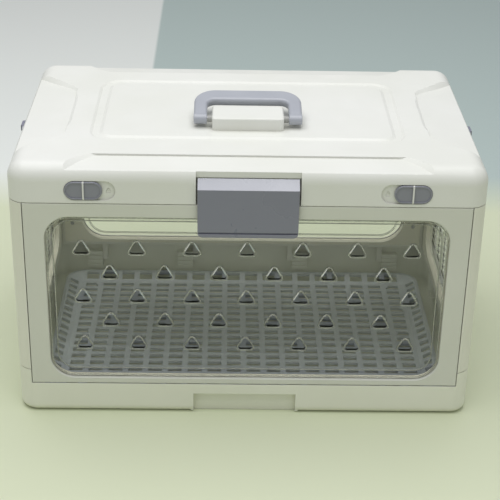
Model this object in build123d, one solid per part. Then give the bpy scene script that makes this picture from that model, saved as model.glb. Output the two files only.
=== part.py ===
from build123d import *
import os
from math import hypot, sqrt

os.makedirs("parts", exist_ok=True)

# Hard-sided pet carrier, in millimetres.
# X runs to the carrier's right, Y runs to the back and Z runs up.
# The origin is on the ground, under the middle of the carrier.

# Body of the carrier
body_width = 458.0
body_depth = 297.0
corner_radius = 18.0
skin = 3.0
seam_gap = 0.5
swing_gap = 0.7
touch_gap = 0.3
pin_clearance = 0.05
edge_break = 0.8

# Base tub
sill_height = 34.0
rim_height = 49.0
base_floor = 3.0
base_edge_radius = 8.0
finger_recess_width = 104.0
finger_recess_height = 22.5
finger_recess_depth = 6.0

# Walls, door and their windows
seam_height = 234.5
wall_thickness = 13.6
door_thickness = 10.5
door_width = 430.0
window_top = 219.8
front_window_width = 390.0
front_window_bottom = 41.0
front_window_radius = 24.0
back_window_width = 380.0
back_window_bottom = 57.0
back_window_radius = 27.0
side_window_width = 230.0
side_window_bottom = 60.0
side_window_top = 203.0
side_window_radius = 24.0
pane_thickness = 2.2
pane_margin = 3.2
pane_dish_depth = 5.0
pane_dish_border = 6.0
screw_place_margin = 20.0
inner_frame_overlap = 2.4
post_depth = 14.0
stop_lip_width = 3.8
stop_lip_thickness = 3.0

# Vent holes of the panes
vent_side = 9.0
vent_rim_radius = 4.2
vent_rim_width = 1.8
vent_rim_height = 1.0
vent_pitch_x = 53.6
vent_pitch_z = 26.5
vent_bottom_row = 78.0
vent_front_rows = 5
vent_back_rows = 4
vent_long_row = 7
side_vent_length = 24.0
side_vent_height = 4.0
side_vent_pitch_y = 38.0
side_vent_pitch_z = 7.2
side_vent_columns = 5
side_vent_rows = 10
side_vent_bottom = 84.0

# Screws that hold the inner frames
screw_radius = 1.0
screw_head_radius = 2.2
screw_head_height = 1.4
screw_boss_radius = 2.6
screw_tip_depth = 1.0

# Door hinge at the sill
door_pin_radius = 2.0
door_pin_inset = 6.0
door_pin_rise = 6.5
door_pin_reach = 5.2
door_pin_engagement = 12.0

# Wall hinges inside the base
wall_pin_radius = 1.5
wall_pin_height = 32.0
wall_bracket_width = 18.0
wall_bracket_bottom = 17.0
wall_bracket_top = 38.0
wall_bracket_depth = 7.5
wall_ear_width = 6.0
wall_ear_thickness = 7.0
wall_bracket_grooves = 3
wall_bracket_groove_height = 1.6
wall_bracket_groove_depth = 1.0
back_bracket_places = (-177.0, -69.0, 69.0, 177.0)
side_bracket_places = (-80.0, 80.0)

# Lid
lid_height = 38.0
lid_top_skin = 4.0
lid_edge_radius = 16.0
edge_dip_depth = 1.8
edge_dip_fall = 4.2
edge_dip_border = 3.0
edge_dip_side_run = 1.2
front_dip_inner = 144.0
front_dip_outer = 176.0
front_dip_depth = 32.0
front_dip_round = 70.0
side_dip_inner = 50.0
side_dip_outer = 96.0
side_dip_depth = 48.0
side_dip_edge = 9.0
side_dip_round = 60.0
groove_half_width = 157.0
groove_half_depth = 86.5
groove_centre_y = 4.0
groove_radius = 24.0
groove_depth = 1.6
groove_outer_run = 2.5
groove_floor_width = 7.0
groove_inner_run = 3.5

# Front latch and the pocket that it lies in
pocket_width = 99.6
pocket_ceiling = 26.4
pocket_depth = 9.5
notch_depth = 4.5
pocket_wall = 2.2
latch_width = 96.4
latch_proud = 4.0
latch_thickness = 3.5
latch_front_top = 17.0
latch_back_top = 26.0
latch_back_reach = 4.0
latch_bottom = 32.6
latch_slope_thickness = 2.0
latch_corner_radius = 5.0
latch_groove_rise = 3.6
latch_groove_height = 2.0
latch_groove_depth = 1.6
latch_axis_share = 0.56
latch_axis_depth = 5.25
latch_pin_radius = 1.25
latch_barrel_radius = 2.75
latch_ear_places = (22.0, 40.0)
latch_ear_width = 4.0
catch_half_width = 15.0
catch_height = 3.0
catch_low = 1.0

# Slide locks in the front of the lid
recess_width = 48.6
recess_height = 19.8
recess_depth = 2.0
recess_place = 150.0
recess_rise = 13.2
recess_backing = 3.0
recess_backing_depth = 5.0
knob_width = 36.0
knob_height = 18.4
knob_proud = 1.0
knob_rim = 1.5
knob_rib_width = 1.8
knob_rib_proud = 0.6
knob_dish_depth = 0.9
slide_travel = 12.0
stem_width = 10.0
stem_height = 5.0
stem_clearance = 0.3
bolt_thickness = 2.5
bolt_height = 9.0
bolt_inner_end = 140.0
keeper_place = 216.5
keeper_thickness = 3.0
keeper_front = 6.2
keeper_back = 12.0
keeper_height = 18.0
lock_screw_radius = 1.25
lock_screw_head_radius = 2.4
lock_screw_head_height = 1.4
lock_mark_size = 4.0
lock_mark_body_height = 3
lock_mark_arch_radius = 1.44
lock_mark_margin = 6.4
lock_mark_line = 0.9
lock_mark_depth = 0.5

# Rear hinge of the lid
lid_axis_proud = 0.5
lid_barrel_radius = 3.5
lid_pin_radius = 1.5
lid_hinge_width = 96.0
lid_hinge_segments = 5
rear_notch_width = 102.0
knuckle_gap = 0.4
knuckle_relief = 0.5

# Handle on the lid
block_width = 72.0
block_depth = 37.6
block_height = 13.0
block_front = 94.4
block_wall = 2.5
block_corner_radius = 4.0
block_edge_radius = 2.0
block_boss_radius = 3.5
block_screw_radius = 1.5
block_screw_head_radius = 3.0
block_screw_head_height = 1.6
block_screw_spread_x = 22.0
block_screw_rows = (19.5, 31.0)
handle_axis_from_front = 105.0
handle_axis_rise = 8.5
handle_width = 109.0
handle_leg_width = 13.5
handle_reach = 49.5
handle_grip_width = 19.0
handle_thickness = 9.0
handle_outer_radius = 22.0
handle_inner_radius = 9.0
handle_edge_radius = 3.2
handle_end_radius = 5.2
handle_lean = 11.0
handle_rod_radius = 2.5
handle_spacer_radius = 3.4

# Side clips
clip_width = 24.0
clip_thickness = 2.6
clip_top = 22.0
clip_lip_thickness = 4.3
clip_lip_height = 6.0
clip_axis_drop = 24.0
clip_axis_out = 2.2
clip_barrel_radius = 1.8
clip_pin_radius = 0.8
clip_lug_width = 3.0
clip_grip_count = 4
clip_grip_pitch = 3.0
clip_grip_size = 1.2

# Slotted floor mat
mat_foot_height = 4.0
mat_thickness = 3.0
mat_half_width = 209.0
mat_front = 15.0
mat_back = 280.0
mat_rim_height = 7.0
mat_rim_run = 14.0
mat_corner_radius = 22.0
mat_slot_pitch_x = 21.0
mat_slot_pitch_y = 13.5
mat_rib_width = 6.5
mat_bar_width = 5.5
mat_slot_columns = 18
mat_slot_rows = 17
mat_rim_slot_width = 9.0
mat_rim_slot_inset = 2.5
mat_foot_radius = 4.0
mat_foot_inset_x = 170.0
mat_foot_inset_y = 111.0

# Places worked out from the sizes above
front_y = -body_depth / 2
back_y = body_depth / 2
side_x = body_width / 2
wall_top = seam_height - seam_gap
wall_bottom = rim_height + seam_gap
lid_bottom = seam_height
lid_top = seam_height + lid_height
door_half_width = door_width / 2 - swing_gap / 2
post_x = door_width / 2 + swing_gap / 2
door_bottom = sill_height + seam_gap
door_axis_y = front_y + door_pin_inset
door_axis_z = door_bottom + door_pin_rise
pane_back = skin + pane_thickness
dish_back = pane_back + pane_dish_depth
past = 5.0
far = 400.0


def block(x_low, x_high, y_low, y_high, z_low, z_high):
    """A plain block between two opposite corners."""
    centre = ((x_low + x_high) / 2, (y_low + y_high) / 2, (z_low + z_high) / 2)
    return Pos(*centre) * Box(x_high - x_low, y_high - y_low, z_high - z_low)


def rod_x(x_low, x_high, y, z, radius):
    """A round rod along X."""
    return Pos((x_low + x_high) / 2, y, z) * Rot(0, 90, 0) * Cylinder(radius, x_high - x_low)


def rod_y(x, y_low, y_high, z, radius):
    """A round rod along Y."""
    return Pos(x, (y_low + y_high) / 2, z) * Rot(90, 0, 0) * Cylinder(radius, y_high - y_low)


def rod_z(x, y, z_low, z_high, radius):
    """A round rod along Z."""
    return Pos(x, y, (z_low + z_high) / 2) * Cylinder(radius, z_high - z_low)


def rounded_prism(inset, z_low, z_high):
    """The carrier's outline in plan, drawn in by an inset, between two heights."""
    outline = RectangleRounded(body_width - 2 * inset, body_depth - 2 * inset, corner_radius - inset)
    return extrude(Pos(0, 0, z_low) * outline, amount=z_high - z_low)


def edges_at(solid, height):
    """The edges that lie flat at one height."""
    return solid.edges().filter_by_position(Axis.Z, height - 0.01, height + 0.01)


def profile_x(points, x_low, x_high):
    """A side view outline of (y, z) points, extruded along X."""
    face = Plane.YZ * make_face(Polyline(*points, close=True))
    return Pos(x_low, 0, 0) * extrude(face, amount=x_high - x_low)


def mirrored(solid):
    """The same piece on the other side of the carrier."""
    return mirror(solid, about=Plane.YZ)


# Views of the four sides: U runs along the side, V up, and W outwards from its face
front_side = Plane(origin=(0, front_y, 0), x_dir=(1, 0, 0), z_dir=(0, -1, 0))
back_side = Plane(origin=(0, back_y, 0), x_dir=(-1, 0, 0), z_dir=(0, 1, 0))
left_side = Plane(origin=(-side_x, 0, 0), x_dir=(0, -1, 0), z_dir=(-1, 0, 0))


def slab(half_width, v_low, v_high, radius, depth_low, depth_high, grow=0.0):
    """A rounded rectangle on a side's face, from one depth behind the face to a greater one."""
    outline = RectangleRounded(2 * (half_width + grow), v_high - v_low + 2 * grow, radius + grow)
    return extrude(Pos(0, (v_low + v_high) / 2, -depth_high) * outline, amount=depth_high - depth_low)


def tapered_slab(half_width, v_low, v_high, radius, depth_low, depth_high, grow_low, grow_high):
    """Like a slab, with its outline grown by one amount at the low depth and another at the high."""
    faces = []
    for depth, grow in ((depth_low, grow_low), (depth_high, grow_high)):
        outline = RectangleRounded(2 * (half_width + grow), v_high - v_low + 2 * grow, radius + grow)
        faces.append(Pos(0, (v_low + v_high) / 2, -depth) * outline)
    return loft(faces, ruled=True)


class Panel:
    """One window: its opening, its dished clear pane, and the inner frame that holds the pane."""

    def __init__(self, side, half_width, bottom, top, window, thickness, bars):
        self.side = side
        self.half_width = half_width
        self.bottom = bottom
        self.top = top
        self.window = window
        self.thickness = thickness
        self.bars = bars

    def opening(self):
        """The cut through the outer skin, with its front edge broken."""
        through = slab(*self.window, -past, pane_back + past)
        edge = tapered_slab(*self.window, 0, edge_break, edge_break, 0)
        return self.side * (through + edge)

    def pocket(self):
        """The hollow behind the outer skin that takes the pane and the inner frame."""
        radius = screw_boss_radius
        return self.side * slab(
            self.half_width, self.bottom, self.top, radius, skin, self.thickness + past
        )

    def pane(self, holes, rims):
        """The clear pane: a flat edge strip and a dish that is set back into the carrier."""
        border = -pane_dish_border
        strip = slab(*self.window, skin, pane_back, pane_margin)
        dish = tapered_slab(*self.window, pane_back, dish_back, 0, border)
        hollow = tapered_slab(*self.window, skin, skin + pane_dish_depth, 0, border)
        flat = skin + pane_dish_depth
        collars = extrude(Pos(0, 0, -flat) * rims, amount=vent_rim_height)
        cuts = extrude(Pos(0, 0, -dish_back - 1) * holes, amount=pane_dish_depth)
        return self.side * (strip + dish - hollow + collars - cuts)

    def screw_places(self):
        """Where the screws stand, on the two side bars and along the top bar."""
        window_half_width, window_bottom, window_high, _ = self.window
        side_u = (window_half_width + pane_margin + self.half_width) / 2
        top_v = (window_high + pane_margin + self.top) / 2
        low_v = window_bottom + screw_place_margin
        high_v = window_high - screw_place_margin
        places = []
        for u in (-side_u, side_u):
            for v in (low_v, (low_v + high_v) / 2, high_v):
                places.append((u, v))
        span = window_half_width - screw_place_margin
        for number in range(self.bars):
            places.append((-span + 2 * span * number / (self.bars - 1), top_v))
        return places

    def bosses(self):
        """The screw bosses on the back of the outer skin."""
        ring = Circle(screw_boss_radius) - Circle(screw_radius)
        rings = Sketch() + [Pos(u, v) * ring for u, v in self.screw_places()]
        overlap = skin - screw_tip_depth
        return self.side * extrude(Pos(0, 0, -pane_back) * rings, amount=pane_back - overlap)

    def boss_holes(self):
        """The pilot holes under the bosses."""
        dots = Sketch() + [Pos(u, v) * Circle(screw_radius) for u, v in self.screw_places()]
        depth = skin - screw_tip_depth
        return self.side * extrude(Pos(0, 0, -pane_back) * dots, amount=pane_back - depth)

    def inner_frame(self):
        """The ring that clamps the pane from the inside, with its countersunk screw holes."""
        gap = touch_gap / 2
        full = slab(
            self.half_width - gap, self.bottom + gap, self.top - gap,
            screw_boss_radius, pane_back, self.thickness
        )
        opening = slab(
            *self.window, pane_back - past, self.thickness + past, pane_margin - inner_frame_overlap
        )
        ring = self.side * (full - opening)
        places = self.screw_places()
        shanks = Sketch() + [Pos(u, v) * Circle(screw_radius + touch_gap) for u, v in places]
        heads = Sketch() + [Pos(u, v) * Circle(screw_head_radius + touch_gap) for u, v in places]
        ring -= self.side * extrude(Pos(0, 0, -self.thickness) * shanks, amount=self.thickness)
        ring -= self.side * extrude(Pos(0, 0, -self.thickness) * heads, amount=screw_head_height)
        return ring

    def screws(self):
        """The inner frame's screws, with their heads flush in it."""
        screw = Pos(0, 0, screw_tip_depth + skin) * Cylinder(
            screw_radius, self.thickness - screw_tip_depth - skin,
            align=(Align.CENTER, Align.CENTER, Align.MIN)
        )
        head_base = self.thickness - screw_head_height
        screw += Pos(0, 0, head_base) * Cylinder(
            screw_head_radius, screw_head_height, align=(Align.CENTER, Align.CENTER, Align.MIN)
        )
        slot = Pos(0, 0, self.thickness) * Box(2 * screw_head_radius, screw_radius / 2, screw_radius)
        screw -= slot
        turned = mirror(screw, about=Plane.XY)
        return [self.side * Pos(u, v, 0) * turned for u, v in self.screw_places()]


def rounded_triangle(radius):
    """A triangle, point up, with its corners rounded."""
    core = RegularPolygon(vent_side / sqrt(3), 3, rotation=90)
    return offset(core, amount=radius, kind=Kind.ARC)


def triangle_vents(rows, top_row):
    """The staggered vent holes of the front and back panes, and the collars round them."""
    holes = []
    collars = []
    hole = rounded_triangle(vent_rim_radius - vent_rim_width)
    collar = rounded_triangle(vent_rim_radius)
    drop = vent_side / (4 * sqrt(3))
    for row in range(rows):
        count = vent_long_row - (top_row - row) % 2
        v = vent_bottom_row + (row + vent_front_rows - rows) * vent_pitch_z - drop
        for number in range(count):
            u = (number - (count - 1) / 2) * vent_pitch_x
            holes.append(Pos(u, v) * hole)
            collars.append(Pos(u, v) * collar)
    return Sketch() + holes, Sketch() + collars


def slot_vents():
    """The level vent slots of the side panes, and the collars round them."""
    holes = []
    collars = []
    for row in range(side_vent_rows):
        v = side_vent_bottom + row * side_vent_pitch_z
        for column in range(side_vent_columns):
            u = (column - (side_vent_columns - 1) / 2) * side_vent_pitch_y
            holes.append(Pos(u, v) * SlotOverall(side_vent_length, side_vent_height))
            collar = SlotOverall(
                side_vent_length + 2 * vent_rim_height, side_vent_height + 2 * vent_rim_height
            )
            collars.append(Pos(u, v) * collar)
    return Sketch() + holes, Sketch() + collars


front_panel = Panel(
    front_side, door_half_width - skin, door_bottom + skin, wall_top - skin,
    (front_window_width / 2, front_window_bottom, window_top, front_window_radius),
    door_thickness, 4
)
back_panel = Panel(
    back_side, door_half_width - skin, wall_bottom + skin, wall_top - skin,
    (back_window_width / 2, back_window_bottom, window_top, back_window_radius),
    wall_thickness, 4
)
side_panel = Panel(
    left_side, body_depth / 2 - post_depth, wall_bottom + skin, wall_top - skin,
    (side_window_width / 2, side_window_bottom, side_window_top, side_window_radius),
    wall_thickness, 3
)


def wall_hinge_unit(side, place, wall_face, towards):
    """One wall hinge: the base's grooved bracket, the wall's ear beside it, and their pin."""
    pin_depth = skin + wall_bracket_depth / 2
    half = wall_bracket_width / 2
    ear_near = half + touch_gap
    ear_far = ear_near + wall_ear_width
    bracket = Pos(place, (wall_bracket_bottom + wall_bracket_top) / 2, -skin - wall_bracket_depth / 2)
    bracket = bracket * Box(wall_bracket_width, wall_bracket_top - wall_bracket_bottom, wall_bracket_depth)
    groove_step = (wall_bracket_top - wall_bracket_bottom) / (wall_bracket_grooves + 1)
    for number in range(wall_bracket_grooves):
        groove_v = wall_bracket_bottom + (number + 1) * groove_step
        groove = Pos(place, groove_v, -skin - wall_bracket_depth) * Box(
            wall_bracket_width, wall_bracket_groove_height, 2 * wall_bracket_groove_depth
        )
        bracket -= groove
    axis = Pos(place, wall_pin_height, -pin_depth) * Rot(0, 90, 0)
    bracket -= axis * Cylinder(wall_pin_radius, 2 * wall_bracket_width)
    ear_low = wall_pin_height - wall_ear_thickness / 2
    ear_v = (ear_low + wall_face) / 2
    ear_u = place + towards * (ear_near + ear_far) / 2
    ear_w = -skin - touch_gap - wall_ear_thickness / 2
    ear = Pos(ear_u, ear_v, ear_w) * Box(wall_ear_width, wall_face - ear_low, wall_ear_thickness)
    ear -= axis * Cylinder(wall_pin_radius, far)
    pin_low = -half
    pin_high = ear_far
    pin_u = place + towards * (pin_low + pin_high) / 2
    pin = Pos(pin_u, wall_pin_height, -pin_depth) * Rot(0, 90, 0)
    pin = pin * Cylinder(wall_pin_radius, pin_high - pin_low)
    return side * bracket, side * ear, side * pin


def wall_hinges(side, places):
    """All the hinge units of one wall."""
    brackets = []
    ears = []
    pins = []
    for place in places:
        towards = -1 if place > 0 else 1
        bracket, ear, pin = wall_hinge_unit(side, place, wall_bottom + skin / 2, towards)
        brackets.append(bracket)
        ears.append(ear)
        pins.append(pin)
    return brackets, ears, pins


back_brackets, back_ears, back_pins = wall_hinges(back_side, back_bracket_places)
left_brackets, left_ears, left_pins = wall_hinges(left_side, side_bracket_places)


def make_base():
    """The base tub: floor, rim, lowered sill, finger recess, hinge posts and hinge brackets."""
    outer = rounded_prism(0, 0, rim_height)
    outer = fillet(edges_at(outer, 0), base_edge_radius)
    outer = chamfer(edges_at(outer, rim_height), edge_break / 2)
    inner = rounded_prism(skin, base_floor, rim_height + past)
    inner = fillet(edges_at(inner, base_floor), base_edge_radius - skin)
    tub = outer - inner
    posts = outer & (
        block(post_x, side_x, front_y, front_y + post_depth, base_floor / 2, rim_height)
        + block(-side_x, -post_x, front_y, front_y + post_depth, base_floor / 2, rim_height)
    )
    recess_inner = block(
        -finger_recess_width / 2 - skin, finger_recess_width / 2 + skin,
        front_y + skin / 2, front_y + finger_recess_depth + skin,
        base_floor / 2, finger_recess_height + skin
    )
    tub = tub + posts + recess_inner
    tub -= block(
        -finger_recess_width / 2, finger_recess_width / 2,
        front_y - past, front_y + finger_recess_depth, -past, finger_recess_height
    )
    tub -= block(-post_x, post_x, front_y - past, front_y + post_depth, sill_height, rim_height + past)
    sweep = hypot(door_pin_inset, door_pin_rise) + touch_gap
    tub -= rod_x(-post_x, post_x, door_axis_y, door_axis_z, sweep)
    pin_end = post_x + door_pin_reach
    tub -= rod_x(-pin_end, pin_end, door_axis_y, door_axis_z, door_pin_radius)
    tub = tub + back_brackets + left_brackets + [mirrored(piece) for piece in left_brackets]
    return tub


def latch_axis():
    """The latch's hinge line, set in from the middle of its sloped top."""
    run = latch_back_reach + latch_proud
    rise = latch_back_top - latch_front_top
    length = hypot(run, rise)
    middle_y = -latch_proud + run * latch_axis_share
    middle_z = latch_front_top + rise * latch_axis_share
    return (
        front_y + middle_y + latch_axis_depth * rise / length,
        seam_height + middle_z - latch_axis_depth * run / length,
    )


latch_axis_y, latch_axis_z = latch_axis()


def make_door_frame():
    """The door's outer frame, with the latch's ears standing on its top edge."""
    frame = block(
        -door_half_width, door_half_width, front_y, front_y + door_thickness, door_bottom, wall_top
    )
    face_edges = frame.faces().sort_by(Axis.Y)[0].edges()
    frame = fillet(face_edges, edge_break)
    frame -= front_panel.pocket()
    frame -= front_panel.opening()
    frame += front_panel.bosses()
    frame -= front_panel.boss_holes()
    for place in latch_ear_places:
        for sign in (-1, 1):
            ear_low = sign * place - latch_ear_width / 2
            ear_high = sign * place + latch_ear_width / 2
            frame += block(
                ear_low, ear_high, latch_axis_y - latch_barrel_radius,
                latch_axis_y + latch_barrel_radius, wall_top - skin / 2, latch_axis_z
            )
            frame += rod_x(ear_low, ear_high, latch_axis_y, latch_axis_z, latch_barrel_radius)
    reach = max(latch_ear_places) + latch_ear_width
    frame -= rod_x(-reach, reach, latch_axis_y, latch_axis_z, latch_pin_radius)
    bush_radius = door_pin_radius + skin
    bush_back = front_y + door_thickness
    for sign in (-1, 1):
        bush = rod_x(
            door_half_width - door_pin_engagement - skin, door_half_width,
            door_axis_y, door_axis_z, bush_radius
        )
        bush &= block(0, door_half_width, front_y, front_y + skin + pane_thickness - touch_gap,
                      door_bottom, door_axis_z + bush_radius)
        side_stub = block(
            door_half_width - skin, door_half_width, front_y + skin / 2, bush_back,
            door_bottom + skin / 2, door_axis_z + bush_radius
        )
        corner = bush + side_stub
        frame += corner if sign > 0 else mirrored(corner)
        bore = rod_x(
            door_half_width - door_pin_engagement, door_half_width + past,
            door_axis_y, door_axis_z, door_pin_radius + pin_clearance
        )
        frame -= bore if sign > 0 else mirrored(bore)
    return frame


def make_door_pins():
    """The two door hinge pins, fast in the base's posts."""
    pin = rod_x(
        door_half_width - door_pin_engagement + touch_gap, post_x + door_pin_reach,
        door_axis_y, door_axis_z, door_pin_radius
    )
    return [pin, mirrored(pin)]


def pin_slots(solid):
    """Room in a piece of the door for the two hinge pins."""
    bore = rod_x(
        door_half_width - door_pin_engagement - touch_gap, door_half_width + past,
        door_axis_y, door_axis_z, door_pin_radius + touch_gap
    )
    return solid - bore - mirrored(bore)


def make_back_frame():
    """The back wall's outer frame, with its hinge ears and its share of the lid's hinge."""
    frame = block(
        -door_half_width, door_half_width, back_y - wall_thickness, back_y, wall_bottom, wall_top
    )
    face_edges = frame.faces().sort_by(Axis.Y)[-1].edges()
    frame = fillet(face_edges, edge_break)
    frame -= back_panel.pocket()
    frame -= back_panel.opening()
    frame += back_panel.bosses()
    frame -= back_panel.boss_holes()
    for ear in back_ears:
        frame += ear
    return lid_knuckles(frame, 0, -1, skin / 2)


lid_axis_y = back_y + lid_axis_proud
lid_axis_z = seam_height - seam_gap / 2


def lid_knuckles(body, first, web_side, web_reach):
    """Every second barrel of the lid's hinge on one leaf, with room for the barrels of the other."""
    width = lid_hinge_width / lid_hinge_segments
    for number in range(lid_hinge_segments):
        low = -lid_hinge_width / 2 + number * width
        high = low + width
        if number % 2 == first:
            barrel = rod_x(
                low + knuckle_gap / 2, high - knuckle_gap / 2, lid_axis_y, lid_axis_z, lid_barrel_radius
            )
            web_z = sorted((lid_axis_z, lid_axis_z + web_side * lid_barrel_radius))
            web = block(
                low + knuckle_gap / 2, high - knuckle_gap / 2,
                back_y - web_reach, lid_axis_y, web_z[0], web_z[1]
            )
            body += barrel + web
        else:
            body -= rod_x(
                low - knuckle_gap / 2, high + knuckle_gap / 2, lid_axis_y, lid_axis_z,
                lid_barrel_radius + knuckle_relief
            )
    span = lid_hinge_width / 2 + past
    clearance = pin_clearance if first else 0.0
    body -= rod_x(-span, span, lid_axis_y, lid_axis_z, lid_pin_radius + clearance)
    return body


def side_room():
    """The space that the left wall takes up, inside the carrier's outline."""
    outer = rounded_prism(0, wall_bottom, wall_top)
    outer = chamfer(edges_at(outer, wall_bottom) + edges_at(outer, wall_top), edge_break / 2)
    return outer & block(-side_x, -post_x, front_y, back_y, wall_bottom, wall_top)


def make_left_frame():
    """The left wall's outer frame with its two corner posts, keeper, clip lugs and ears."""
    room = side_room()
    inner = rounded_prism(skin, wall_bottom + skin, wall_top - skin)
    frame = room - inner
    post = block(-post_x - skin, -post_x, front_y + skin / 2, front_y + post_depth,
                 wall_bottom, wall_top)
    frame += post + mirror(post, about=Plane.XZ)
    lip = block(
        -post_x - skin / 2, -post_x + stop_lip_width,
        front_y + door_thickness + touch_gap, front_y + post_depth,
        side_window_bottom, window_top
    )
    frame += lip
    frame -= side_panel.opening()
    frame += side_panel.bosses()
    frame -= side_panel.boss_holes()
    for ear in left_ears:
        frame += ear
    keeper = block(
        -keeper_place - keeper_thickness, -keeper_place, front_y + keeper_front,
        front_y + keeper_back, wall_top - skin / 2, seam_height + keeper_height
    )
    keeper &= rounded_prism(skin + touch_gap, wall_top - skin, seam_height + keeper_height)
    bolt_back = recess_backing_depth + touch_gap + bolt_thickness
    slot_half = bolt_height / 4 + touch_gap
    keeper -= block(
        -keeper_place - 2 * keeper_thickness, -keeper_place + past, front_y,
        front_y + bolt_back + touch_gap,
        seam_height + recess_rise - slot_half, seam_height + recess_rise + slot_half
    )
    frame += keeper
    clip_axis_x = -side_x - clip_axis_out
    clip_axis_z = seam_height - clip_axis_drop
    for sign in (-1, 1):
        near = clip_width / 2 + touch_gap
        lug_y = sorted((sign * near, sign * (near + clip_lug_width)))
        frame += block(
            clip_axis_x, -side_x + skin / 2, lug_y[0], lug_y[1],
            clip_axis_z - clip_barrel_radius, clip_axis_z + clip_barrel_radius
        )
        frame += rod_y(clip_axis_x, lug_y[0], lug_y[1], clip_axis_z, clip_barrel_radius)
    lug_end = clip_width / 2 + touch_gap + clip_lug_width
    frame -= rod_y(clip_axis_x, -lug_end, lug_end, clip_axis_z, clip_pin_radius)
    relief = clip_barrel_radius + touch_gap
    frame -= rod_y(clip_axis_x, -clip_width / 2 - touch_gap, clip_width / 2 + touch_gap,
                   clip_axis_z, relief)
    return frame


def make_left_clip():
    """The left side clip: a ribbed plate on a barrel."""
    axis_x = -side_x - clip_axis_out
    axis_z = seam_height - clip_axis_drop
    inner_x = -side_x - touch_gap
    outer_x = inner_x - clip_thickness
    plate = block(outer_x, inner_x, -clip_width / 2, clip_width / 2, axis_z, seam_height + clip_top)
    corners = plate.edges().filter_by(Axis.X).sort_by(Axis.Z)[-2:]
    plate = fillet(corners, 2 * clip_thickness)
    rim = plate.faces().sort_by(Axis.X)[0].edges()
    plate = fillet(rim, edge_break)
    lip_side = clip_width / 2 - 2 * clip_thickness
    lip = block(
        inner_x - clip_lip_thickness, inner_x, -lip_side, lip_side,
        seam_height + clip_top - clip_lip_height, seam_height + clip_top
    )
    plate += fillet(lip.faces().sort_by(Axis.X)[0].edges(), edge_break)
    for number in range(clip_grip_count):
        z = seam_height + clip_top - 2 * clip_lip_height - number * clip_grip_pitch
        plate -= block(
            outer_x - clip_grip_size, outer_x + clip_grip_size / 2,
            -clip_width / 2 + clip_thickness, clip_width / 2 - clip_thickness,
            z - clip_grip_size / 2, z + clip_grip_size / 2
        )
    plate += rod_y(axis_x, -clip_width / 2, clip_width / 2, axis_z, clip_barrel_radius)
    plate -= rod_y(axis_x, -clip_width, clip_width, axis_z, clip_pin_radius + pin_clearance)
    return plate


def make_left_clip_pin():
    """The left clip's pin, fast in the wall's lugs."""
    end = clip_width / 2 + touch_gap + clip_lug_width
    return rod_y(-side_x - clip_axis_out, -end, end, seam_height - clip_axis_drop, clip_pin_radius)


def make_latch():
    """The front latch: a plate with a finger lip, a sloped top, and two hinge barrels."""
    half = latch_width / 2
    y_out = front_y - latch_proud
    y_in = y_out + latch_thickness
    run = latch_back_reach + latch_proud
    rise = latch_back_top - latch_front_top
    drop = latch_slope_thickness * hypot(run, rise) / run
    bend_z = latch_front_top + (latch_thickness / run) * rise - drop
    points = (
        (y_out, seam_height - latch_bottom),
        (y_out, seam_height + latch_front_top),
        (front_y + latch_back_reach, seam_height + latch_back_top),
        (front_y + latch_back_reach, seam_height + latch_back_top - drop),
        (y_in, seam_height + bend_z),
        (y_in, seam_height - latch_bottom),
    )
    plate = profile_x(points, -half, half)
    low_corners = plate.edges().filter_by(Axis.Y).sort_by(Axis.Z)[:2]
    plate = fillet(low_corners, latch_corner_radius)
    groove_z = seam_height - latch_bottom + latch_groove_rise
    plate -= block(
        -half - past, half + past, y_out - past, y_out + latch_groove_depth,
        groove_z, groove_z + latch_groove_height
    )
    inner_ear, outer_ear = latch_ear_places
    barrel_low = inner_ear + latch_ear_width / 2 + touch_gap
    barrel_high = outer_ear - latch_ear_width / 2 - touch_gap
    web_low = latch_axis_z - latch_barrel_radius
    web_high = latch_axis_z + latch_barrel_radius / 2
    knuckle = rod_x(barrel_low, barrel_high, latch_axis_y, latch_axis_z, latch_barrel_radius)
    knuckle += block(barrel_low, barrel_high, y_in - touch_gap, latch_axis_y, web_low, web_high)
    plate = plate + knuckle + mirrored(knuckle)
    nose_low = seam_height + catch_low + catch_height + touch_gap
    nose_tip = front_y + catch_height
    plate += block(
        -catch_half_width, catch_half_width, y_in - touch_gap, nose_tip, nose_low,
        nose_low + catch_height
    )
    plate -= rod_x(-half, half, latch_axis_y, latch_axis_z, latch_pin_radius + pin_clearance)
    return plate


def make_latch_pins():
    """The two latch pins, fast in the door's ears."""
    inner_ear, outer_ear = latch_ear_places
    pin = rod_x(
        inner_ear - latch_ear_width / 2, outer_ear + latch_ear_width / 2,
        latch_axis_y, latch_axis_z, latch_pin_radius
    )
    return [pin, mirrored(pin)]


def dip(half_inner, half_outer, depth, edge, corner):
    """A lowered stretch of the lid's edge, as an outline with its root at the lid's edge."""
    reach = edge + past
    slope = (half_outer - half_inner) / (depth - edge)
    wide = half_outer + slope * reach
    outline = make_face(Polyline(
        (-half_inner, depth), (half_inner, depth), (wide, -past), (-wide, -past), close=True
    ))
    inner_corners = outline.vertices().sort_by(Axis.Y)[-2:]
    return fillet(inner_corners, corner)


def dip_cut(half_inner, half_outer, depth, edge, corner):
    """The cut for a lowered stretch: a bevelled border, and a floor that falls to the edge."""
    border = edge_dip_border
    low = dip(half_inner, half_outer, depth, edge, corner)
    high = dip(half_inner + border, half_outer + border, depth + border, edge, corner)
    step = loft([Pos(0, 0, lid_top - edge_dip_depth) * low, Pos(0, 0, lid_top + 0.01) * high], ruled=True)
    floor_z = lid_top - edge_dip_depth
    edge_z = floor_z - edge_dip_fall * (depth + past) / depth
    wedge = profile_x(
        ((depth, floor_z), (-past, edge_z), (-past, lid_top + past), (depth, lid_top + past)), -far, far
    )
    spread = edge_dip_side_run * (lid_top - edge_z)
    wide = dip(half_inner + spread, half_outer + spread, depth + spread, edge, corner)
    wedge &= loft([Pos(0, 0, edge_z) * low, Pos(0, 0, lid_top + 0.01) * wide], ruled=True)
    return step + wedge


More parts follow.
